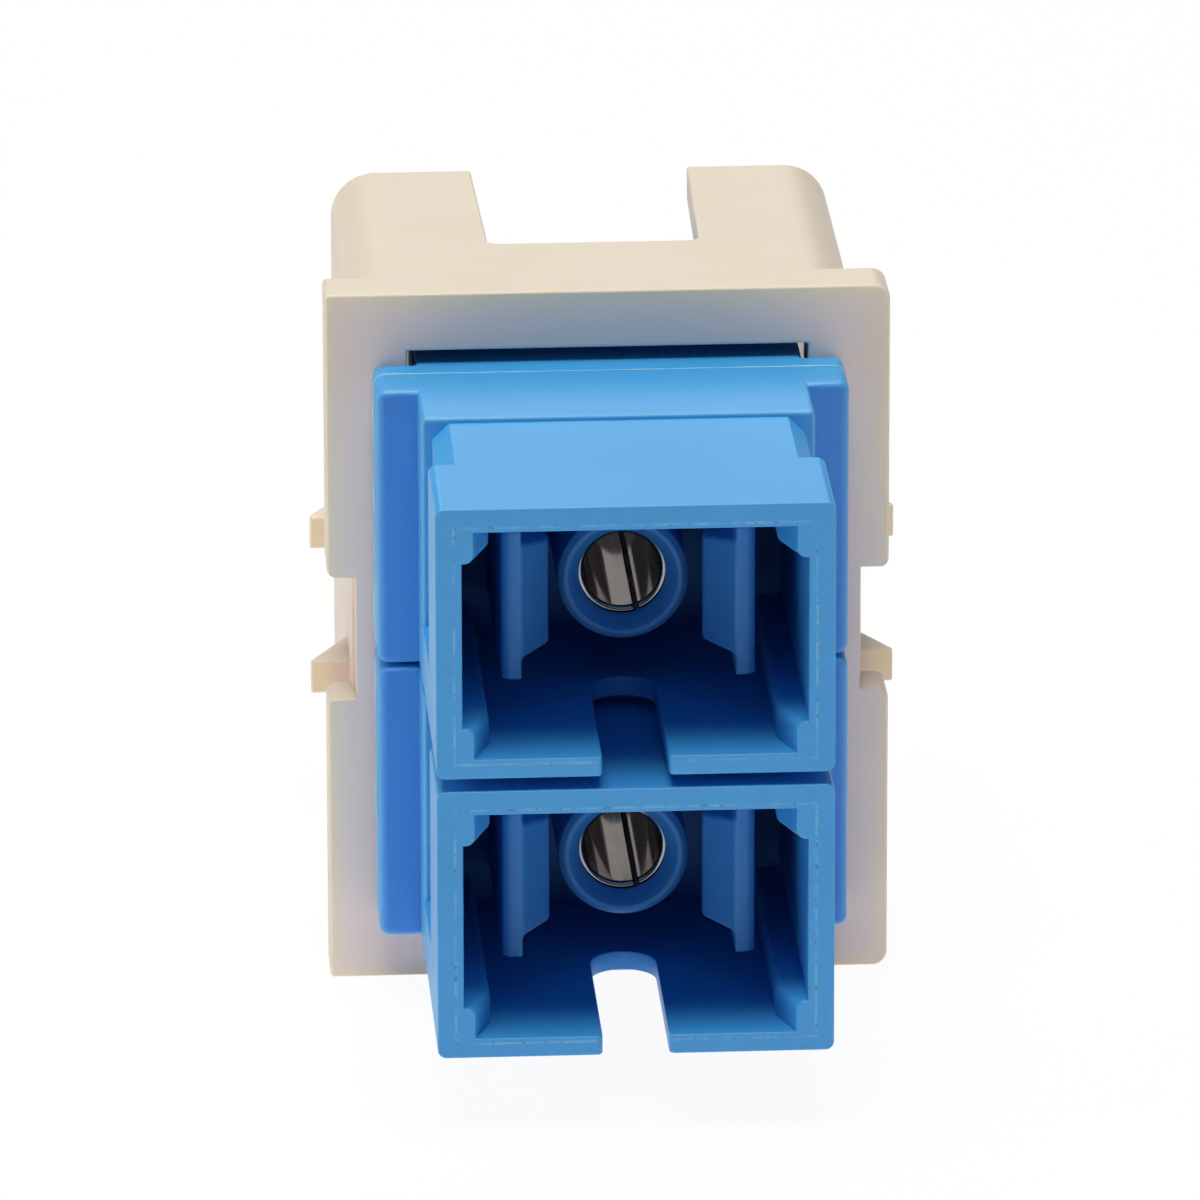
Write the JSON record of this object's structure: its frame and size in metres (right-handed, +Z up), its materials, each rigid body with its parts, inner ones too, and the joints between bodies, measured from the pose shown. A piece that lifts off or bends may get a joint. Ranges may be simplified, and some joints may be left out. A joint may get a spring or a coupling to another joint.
{
  "type": "fibre keystone jack",
  "caption": "Snap-in ivory frame with a front plate and rear sleeve that carries stacked blue push-pull fibre adapters for coupling plugs through a wall plate.",
  "frame": {"origin": "middle of the front plate's back face, where the wall plate bears", "axes": "+Y back into the wall, away from the front ports; +Z up, from the lower adapter to the upper one; +X to the right as seen from the front"},
  "size_m": [0.0194, 0.0312, 0.0238],
  "materials": {
    "ivory_plastic": "satin moulded ivory plastic",
    "blue_plastic": "satin moulded blue plastic",
    "latch_plastic": "moulded blue plastic",
    "sleeve_metal": "drawn spring bronze, silvery",
    "clip_steel": "rolled spring steel"
  },
  "bodies": {
    "root": {"frame_housing": "ivory_plastic", "upper_front_shell": "blue_plastic", "upper_rear_shell": "blue_plastic", "upper_front_latch": "latch_plastic", "upper_rear_latch": "latch_plastic", "upper_split_sleeve": "sleeve_metal", "upper_spring_clip": "clip_steel", "lower_front_shell": "blue_plastic", "lower_rear_shell": "blue_plastic", "lower_front_latch": "latch_plastic", "lower_rear_latch": "latch_plastic", "lower_split_sleeve": "sleeve_metal", "lower_spring_clip": "clip_steel"}
  },
  "joints": []
}
